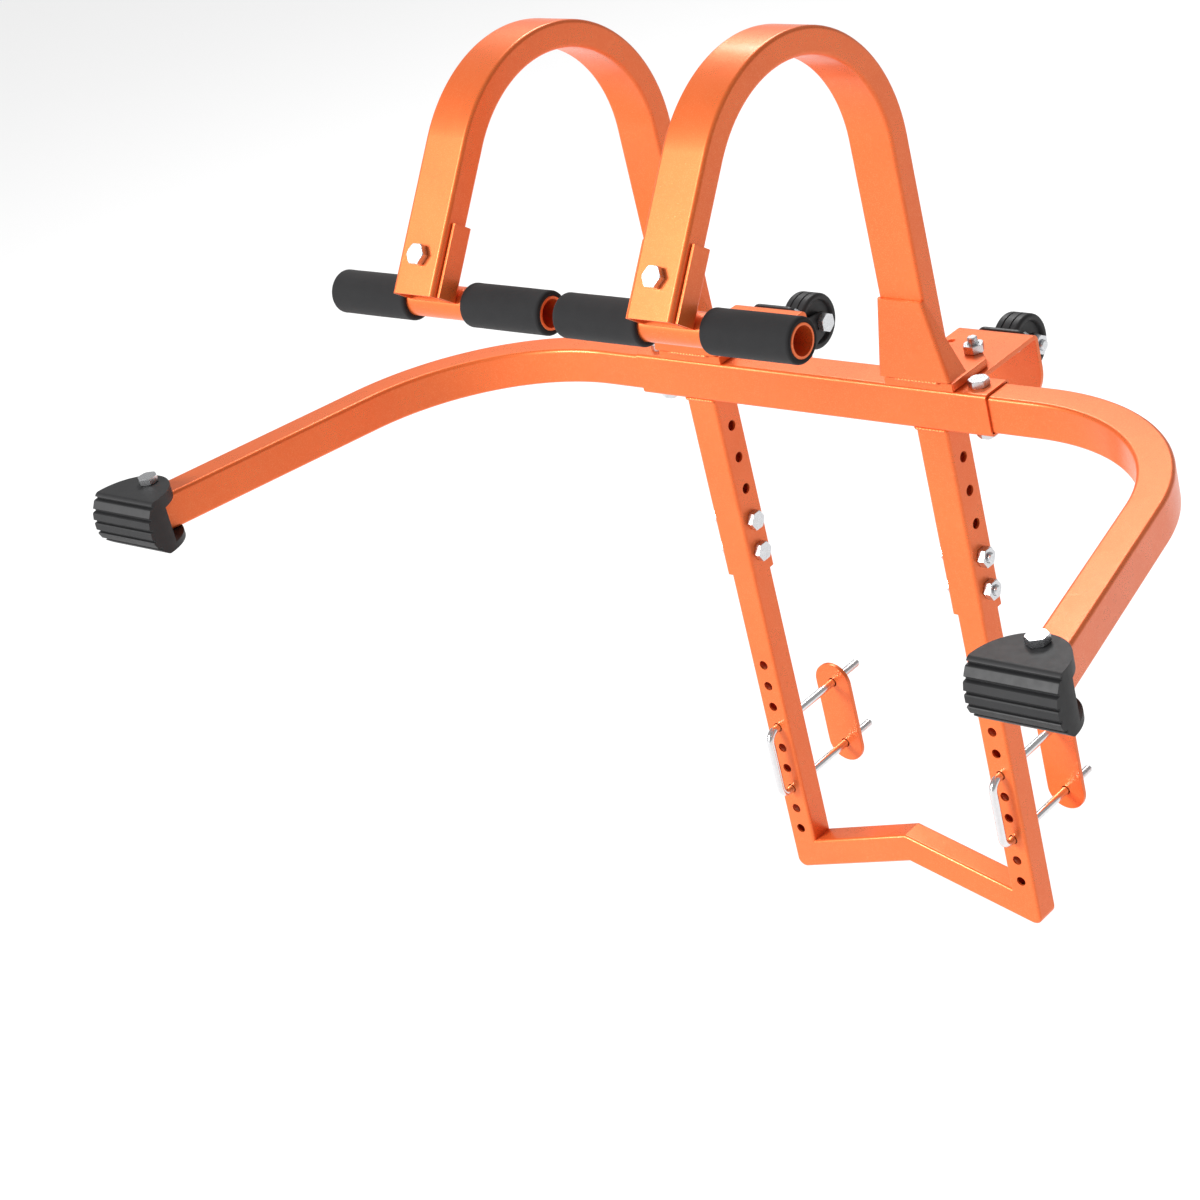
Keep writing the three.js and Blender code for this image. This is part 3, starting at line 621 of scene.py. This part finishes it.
def hook_tube(hand, side):
    outline, bore = tube_section(HOOK, HOOK["wide"], HOOK["deep"])
    painted(f"hook_{hand}", swept(hook_stations(side * HOOK_X), outline, bore), [f"hook_tube_{hand}"])
    seam = spaced(rounded(HOOK["wide"] + 1, HOOK["deep"] + 1, 3), HOOK_FOOT_Z + 0.2)
    painted(f"hook_weld_{hand}", weld_bead(seam, 1.4).moved(at(side * HOOK_X, HOOK["y"])))


def t_bar(hand):
    r, wall, half, chamfer = T_TUBE["radius"], T_TUBE["wall"], T_TUBE["half"], 0.4
    pipe = turned([(r - wall, -half), (r - chamfer, -half), (r, -half + chamfer), (r, half - chamfer),
                   (r - chamfer, half), (r - wall, half)], 64, closed=True)
    node = f"t_bar_tube_{hand}"
    painted(f"t_bar_{hand}", pipe.moved(lying_across(node)), [node])
    for end in ("inner", "outer"):
        node = f"foam_grip_{hand}_{end}"
        sleeve = foam_grip().moved(lying_across(node))
        piece = make(f"foam_sleeve_{hand}_{end}", sleeve, "frame", "black_foam", FOAM_BLACK, [node])


def foam_grip():
    """A foam sleeve along Z, a little barrelled, whose soft ends roll over."""
    f = FOAM
    half, radius, lip = f["length"] / 2, f["radius"], f["round"]
    top = [(radius - lip * (1 - cos(a)) * f["roll"], half - lip * (1 - sin(a))) for a in quarter_turn()]
    bottom = [(r, -z) for r, z in reversed(top)]
    barrel = [(radius - 0.15 * (z / half) ** 2, z) for z in (half * k / 4 for k in range(-3, 4))]
    bore, mouth = T_TUBE["radius"] + f["slack"], half - f["bore_round"]
    return turned([(bore, -mouth)] + bottom + barrel + top + [(bore, mouth)], 72, closed=True)


def t_bar_bracket(hand, side):
    """A channel over the end of the front leg, welded to the T-bar."""
    b = T_BRACKET
    sheet, fold, inner_fold = b["sheet"], b["fold"], b["fold"] - b["sheet"]
    gap, web = HOOK["wide"] / 2 + b["gap"], HOOK["deep"] / 2 + GAP
    out, back, front = gap + sheet, web + sheet, -HOOK["deep"] / 2 + b["inset"]
    half_outer = [(out, front)] + arc(out - fold, back - fold, fold, 0, 90, 6)
    half_inner = arc(gap - inner_fold, web - inner_fold, inner_fold, 90, 0, 4) + [(gap, front)]
    outer = half_outer + [(-x, y) for x, y in reversed(half_outer)]
    inner = [(-x, y) for x, y in reversed(half_inner)] + half_inner
    section = [(x, -y) for x, y in outer + inner]
    ends = [front_leg(side * HOOK_X, along) for along in (b["from"], b["to"])]
    painted(f"t_bracket_{hand}", swept(ends, section), [f"t_bar_bracket_{hand}"], edge=0.35)


def t_bar_bolt(hand, side):
    grip = HOOK["deep"] + GAP + T_BRACKET["sheet"]
    through = Matrix.Rotation(pi / 2, 4, "X") @ at(0, 0, -HOOK["deep"] / 2)
    place = front_leg(side * HOOK_X, HOOK_BOLT_AT) @ through
    zinced(f"t_bracket_bolt_{hand}", fastener(M8, grip, 2).moved(place), f"t_bar_bolt_{hand}")


# ---- hook bases and casters ----
def base_plate(hand, side):
    b = BASE
    corners = [(-b["half"], b["front"]), (b["half"], b["front"]), (b["half"], b["back"] - b["out_bevel"]),
               (b["half"] - b["out_bevel"], b["back"]), (b["in_bevel"] - b["half"], b["back"]),
               (-b["half"], b["back"] - b["in_bevel"])]
    shape = slab([(side * (HOOK_X + x), y) for x, y in corners], b["low"], b["high"])
    painted(f"base_plate_{hand}", shape, [f"hook_base_plate_{hand}"], edge=0.9)


def gusset(hand, side):
    """A front plate folded back on both sides, narrowing up the hook."""
    front, sheet, fold, inner_fold = (GUSSET[key] for key in ("front", "sheet", "fold", "inner_fold"))

    def section(level):
        half, back = level["half"], front + level["deep"]
        inner, web = half - sheet, front + sheet
        right = [(half, back)] + arc(half - fold, front + fold, fold, 0, -90, 6)
        inside = [(inner, back)] + arc(inner - inner_fold, web + inner_fold, inner_fold, 0, -90, 6)
        ring = right + [(-x, y) for x, y in reversed(right)] + [(-x, y) for x, y in inside] + inside[::-1]
        return [(side * HOOK_X + x, y, level["z"]) for x, y in ring]

    shape = lofted([section(GUSSET_LOW), section(GUSSET_HIGH)])
    painted(f"gusset_{hand}", shape, [f"hook_gusset_{hand}"], edge=0.4)


def wheel_shelf(hand, side):
    """An angle plate: a shelf behind the crossbar and a round-ended tongue for the caster."""
    s = SHELF
    x, half, back, top = side * HOOK_X, s["half"], s["back"], s["high"]
    sheet, fold = top - s["low"], s["fold"]
    bottom = s["round_z"] - half - 2
    side_view = [(s["front"], s["low"]), (s["front"], top)] + arc(back - fold, top - fold, fold, 90, 0, 6)
    side_view += [(back, bottom), (back - sheet, bottom)]
    side_view += arc(back - fold, top - fold, fold - sheet, 0, 90, 4)
    angle = slab(side_view, x - half, x + half, "x")
    tongue = [(x + half + 1, 40), (x - half - 1, 40)] + arc(x, s["round_z"], half - 0.02, 180, 360, 40)
    spare = pin("z", SPARE_HOLE["radius"], 0, 40, (x - side * SPARE_HOLE["x"], SPARE_HOLE["y"]))
    painted(f"wheel_shelf_{hand}", angle, [f"wheel_bracket_{hand}"], edge=0.5,
            keep=slab(tongue, 0, 200, "y"), cuts=[spare])


def caster_fork(hand, side):
    """A mounting plate and two cheeks that hold the wheel's axle."""
    wide, tall, corner, z = (CASTER[key] for key in ("wide", "tall", "corner", "z"))
    y = SHELF["back"] + GAP
    outline = [(side * HOOK_X + a, z + b) for a, b in rounded(wide, tall, corner, 8)]
    make(f"caster_plate_{hand}", slab(outline, y, y + CASTER["sheet"], "y"), "frame", "black_plastic",
         PLASTIC, [f"caster_fork_{hand}"], edge=1.2)
    hub = node_middle(f"wheel_{hand}")
    turn = CHEEK["nose_turn"]
    nose = arc(hub.y, hub.z, CHEEK["nose"], -turn, turn, 14)
    arch = [(y + 1, z - CHEEK["half"])] + nose + [(y + 1, z + CHEEK["half"])]
    for i, way in enumerate((-1, 1)):
        near = hub.x + way * (WHEEL["wide"] / 2 + CHEEK["air"])
        low, high = sorted((near, near + way * CHEEK["sheet"]))
        make(f"caster_cheek_{hand}_{i + 1}", slab(arch, low, high, "x"), "frame", "black_plastic",
             PLASTIC, edge=0.8)


def wheel(hand):
    """A wheel turned in one: a hub, a dished web and a tread with two grooves."""
    half, r, hub, soft = WHEEL["wide"] / 2, WHEEL["radius"], WHEEL["hub"], WHEEL["rim_round"]
    web = half - WHEEL["dish"]
    face = [(WHEEL["bore"], half), (hub, half), (hub + 0.8, half - 0.8), (hub + 1.2, web), (r - 6.5, web),
            (r - 5.6, half - 0.9), (r - 4.8, half - 0.2)]
    rim = [(r - soft + soft * sin(a), half - soft + soft * cos(a)) for a in quarter_turn()]
    deep, near, far, slope = (TREAD_GROOVE[key] for key in ("deep", "from", "to", "slope"))
    groove = [(r, far), (r - deep, far - slope), (r - deep, near + slope), (r, near)]
    right = face + rim + groove
    profile = right + [(radius, -z) for radius, z in reversed(right)]
    node = f"wheel_{hand}"
    shape = turned(profile, 72, closed=True).moved(lying_across(node))
    make(f"caster_wheel_{hand}", shape, f"wheel_{hand}", "wheel_rubber", TREAD, [node], smooth=32)


# ---- wall arms ----
def wall_arm(hand, side):
    start = basis((0, 0, -1), (0, 1, 0), (ARM["from"], 0, 0))
    bend_end = ARM_BEND["radius"] * (1 - cos(radians(ARM_BEND["degrees"])))
    tail = (-FOOT_BOLT.y - bend_end) / sin(radians(ARM_BEND["degrees"])) + ARM["past_bolt"]
    runs = [{"straight": ARM["bend_x"] - ARM["from"]}, {**ARM_BEND, "steps": 48}, {"straight": tail}]
    outline, bore = tube_section(ARM, ARM["tall"], ARM["deep"])
    shape = swept(walk(start, runs), outline, bore)
    if side < 0:
        shape = shape.moved(MIRROR)
    painted(f"arm_{hand}", shape, [f"wall_arm_{hand}"])


def foot_face(z):
    """Where the foot's front face lies at a height: a bulge that is flat in the middle."""
    b = FOOT_BULGE
    edge_z, edge_y = (FOOT["top"], FOOT["front"]) if z > b["z"] else (FOOT["bottom"], FOOT["front"] + 2)
    reach = abs(edge_z - b["z"]) - b["flat"]
    away = max(abs(z - b["z"]) - b["flat"], 0) / reach
    return b["y"] + away * away * (edge_y - b["y"])


def foot_outline():
    """The foot from the side: a thin lip on top, then soft-edged ribs."""
    lip, groove, depth, soft = (FOOT_RIBS[key] for key in ("lip", "groove", "deep", "soft"))
    rib = (FOOT["top"] - FOOT["bottom"] - lip) / FOOT_RIBS["count"] - groove
    z = FOOT["top"]
    side = [(FOOT["back"], FOOT["bottom"]), (FOOT["back"], z), (foot_face(z) + 1.2, z),
            (foot_face(z - 1), z - 1), (foot_face(z - lip), z - lip)]
    z -= lip
    for _ in range(FOOT_RIBS["count"]):
        floor_y = foot_face(z - groove / 2) + depth
        side += [(floor_y, z - 0.3), (floor_y, z - groove + 0.3)]
        z -= groove
        side += [(foot_face(z) + soft, z), (foot_face(z - soft), z - soft)]
        z -= rib
        side += [(foot_face(z + soft), z + soft), (foot_face(z) + soft, z)]
    return side


def wall_foot(hand, side):
    """Rubber foot: ribbed front, and two D-shaped ears above and below the arm's end."""
    x, half, front = side * abs(FOOT_BOLT.x), FOOT["half"], FOOT["front"]
    body = slab(foot_outline(), x - half, x + half, "x")
    deep = FOOT["back"] - front
    ear = [(x + half * cos(a), front + deep * sin(a)) for a in (pi * i / 40 for i in range(41))]
    plan = [(x + half, front - 20)] + ear + [(x - half, front - 20)]
    tall, floor_y = ARM["tall"] / 2 + GAP, FOOT["body_back"]
    slot = slab([(x - 60, floor_y), (x + 60, floor_y), (x + 60, 0), (x - 60, 0)], -tall, tall)
    make(f"rubber_foot_{hand}", body, f"foot_{hand}", "black_rubber", RUBBER, [f"wall_foot_{hand}"],
         edge=0.7, keep=slab(plan, -60, 60), cuts=[slot], smooth=50)


# ---- rung clamps ----
def u_bolt(hand, side):
    """A rod bent twice, whose two screwed ends start where its plain part stops."""
    low, high = node_box(f"u_bolt_{hand}")
    top, bottom, x = high.z - ROD, low.z + ROD, side * LEG_X
    radius, thread, lap = U_BEND["radius"], U_BEND["thread"], 0.5
    plain_end = U_BEND["tip"] - thread
    leg = {"straight": plain_end - U_BEND["y"] - radius}
    bend = {"degrees": 90, "radius": radius, "steps": 12}
    start = basis((1, 0, 0), (0, 0, 1), (x, plain_end, top))
    stations = walk(start, [leg, bend, {"straight": top - bottom - 2 * radius}, bend, leg])
    rod = swept(stations, circle(0, 0, ROD, 24))
    ends = []
    for z in (top, bottom):
        place = at(x, plain_end - lap, z) @ Matrix.Rotation(-pi / 2, 4, "X")
        ends.append(screwed({"rod": ROD, "pitch": M8["pitch"]}, 0, thread + lap, 20).moved(place))
    make(f"u_rod_{hand}", rod.joined(*ends), "frame", "zinc", BRIGHT_ZINC, [f"u_bolt_{hand}"])


def clamp(hand, side):
    """An oval plate on the U-bolt's two rods, with the nut on each."""
    low, high = node_box(f"clamp_plate_{hand}")
    half, x, front = CLAMP["half"], side * LEG_X, CLAMP["front"]
    top, bottom = high.z - half, low.z + half
    oval = arc(x, top, half, 0, 180, 24) + arc(x, bottom, half, 180, 360, 24)
    holes = [pin("y", ROD + 0.6, 0, 100, (x, z)) for z in (top, bottom)]
    plate = slab(oval, front, front + CLAMP["thick"], "y")
    make(f"clamp_strap_{hand}", plate, f"clamp_{hand}", "orange_paint", ORANGE, [f"clamp_plate_{hand}"],
         edge=0.6, cuts=[holes[0].joined(holes[1])])
    facing = Matrix.Rotation(-pi / 2, 4, "X") @ Matrix.Rotation(pi / 6, 4, "Z")
    for place in ("upper", "lower"):
        node = f"clamp_nut_{hand}_{place}"
        low, high = node_box(node)
        half = (high.y - low.y) / 2
        nut = hex_block({"flats": high.x - low.x, "rod": ROD}, -half, half, bored=True)
        nut = nut.moved(Matrix.Translation((low + high) / 2) @ facing)
        make(f"rung_nut_{hand}_{place}", nut, f"clamp_{hand}", "zinc", BRIGHT_ZINC, [node], smooth=25)


# ---- straight bolts ----
def bolt(name, node, size, towards_nut, tail=3.0, twist=0.0):
    """A bolt and nut in the place of a node, whose box runs from the head's face to the tip."""
    low, high = node_box(node)
    ahead = Vector(towards_nut)
    length = abs((high - low).dot(ahead))
    grip = length - size["head"] - GAP - size["nut"] - tail
    start = (low + high) / 2 - ahead * (length / 2 - size["head"] - GAP)
    turn = Vector((0, 0, 1)).rotation_difference(ahead).to_matrix().to_4x4()
    place = Matrix.Translation(start) @ turn @ Matrix.Rotation(twist, 4, "Z")
    zinced(name, fastener(size, grip, tail).moved(place), node)


def bolts(hand, side):
    bolt(f"arm_fastener_{hand}", f"arm_bolt_{hand}", M8, (0, 0, -1))
    bolt(f"foot_fastener_{hand}", f"foot_bolt_{hand}", M8, (0, 0, -1))
    bolt(f"axle_fastener_{hand}", f"axle_bolt_{hand}", M8, (side, 0, 0))
    for i in (1, 2):
        bolt(f"base_fastener_{hand}_{i}", f"base_bolt_{hand}_{i}", M8, (0, 0, 1), tail=6.0)
        bolt(f"leg_fastener_{hand}_{i}", f"leg_bolt_{hand}_{i}", M8, (side, 0, 0), twist=pi / 6)
    for i in (1, 2, 3, 4):
        bolt(f"caster_fastener_{hand}_{i}", f"caster_bolt_{hand}_{i}", M6, (0, 1, 0), twist=pi / 6)


# ---- studio ----
def floor_plane():
    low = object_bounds()[0]
    span = 40
    corners = [(-span, -span, 0), (span, -span, 0), (span, span, 0), (-span, span, 0)]
    mesh = bpy.data.meshes.new("floor")
    mesh.from_pydata(corners, [], [(0, 1, 2, 3)])
    ground = bpy.data.objects.new("floor", mesh)
    ground.location.z = low[2] - 0.25
    bpy.context.collection.objects.link(ground)
    pale = Finish("pale_floor")
    pale.set("Base Color", (0.92, 0.92, 0.92, 1))
    pale.set("Roughness", 0.85)
    mesh.materials.append(pale.material)


def lamp(name, kind, place, power):
    """A lamp aimed at the middle of the part, with its place in metres."""
    light = bpy.data.lights.new(name, kind)
    light.energy = power
    holder = bpy.data.objects.new(name, light)
    holder.location = place
    holder.rotation_euler = (Vector((0, -0.1, 0.35)) - Vector(place)).to_track_quat("-Z", "Y").to_euler()
    bpy.context.collection.objects.link(holder)
    return light


def studio_light():
    """A broad sun from the front left, a soft box behind, a weak one low in front, and a pale sky."""
    lamp("sun", "SUN", (-1.3, -2.4, 1.8), 3.7).angle = radians(24)
    lamp("back", "AREA", (-1.35, 1.85, 2.75), 50).size = 1.3
    lamp("front", "AREA", (-0.6, -3.0, 0.6), 7).size = 1.2
    world = bpy.data.worlds.new("studio")
    world.use_nodes = True
    sky = world.node_tree.nodes["Background"]
    sky.inputs["Color"].default_value = (1, 1, 1, 1)
    sky.inputs["Strength"].default_value = 0.36
    bpy.context.scene.world = world
    bpy.context.scene.view_settings.view_transform = "Standard"


def camera():
    azimuth, elevation, roll = radians(46.92), radians(26.0), radians(14.31)
    away = Vector((sin(azimuth) * cos(elevation), -cos(azimuth) * cos(elevation), sin(elevation)))
    level = Vector((cos(azimuth), sin(azimuth), 0))
    upright = away.cross(level)
    right = level * cos(roll) - upright * sin(roll)
    up = upright * cos(roll) + level * sin(roll)
    lens = bpy.data.cameras.new("camera")
    lens.lens = 92.4
    lens.sensor_width = 36
    lens.clip_end = 100
    eye = bpy.data.objects.new("camera", lens)
    turn = Matrix((right, up, away)).transposed().to_4x4()
    eye.matrix_world = Matrix.Translation((1.4962, -1.7253, 1.3233)) @ turn
    bpy.context.collection.objects.link(eye)
    bpy.context.scene.camera = eye


floor_plane()
studio_light()
camera()
crossbar()
lower_frame()
for hand, side in (("right", 1), ("left", -1)):
    leg_sleeve(hand, side)
    hook_tube(hand, side)
    t_bar(hand)
    t_bar_bracket(hand, side)
    t_bar_bolt(hand, side)
    base_plate(hand, side)
    gusset(hand, side)
    wheel_shelf(hand, side)
    caster_fork(hand, side)
    wheel(hand)
    wall_arm(hand, side)
    wall_foot(hand, side)
    u_bolt(hand, side)
    clamp(hand, side)
    bolts(hand, side)
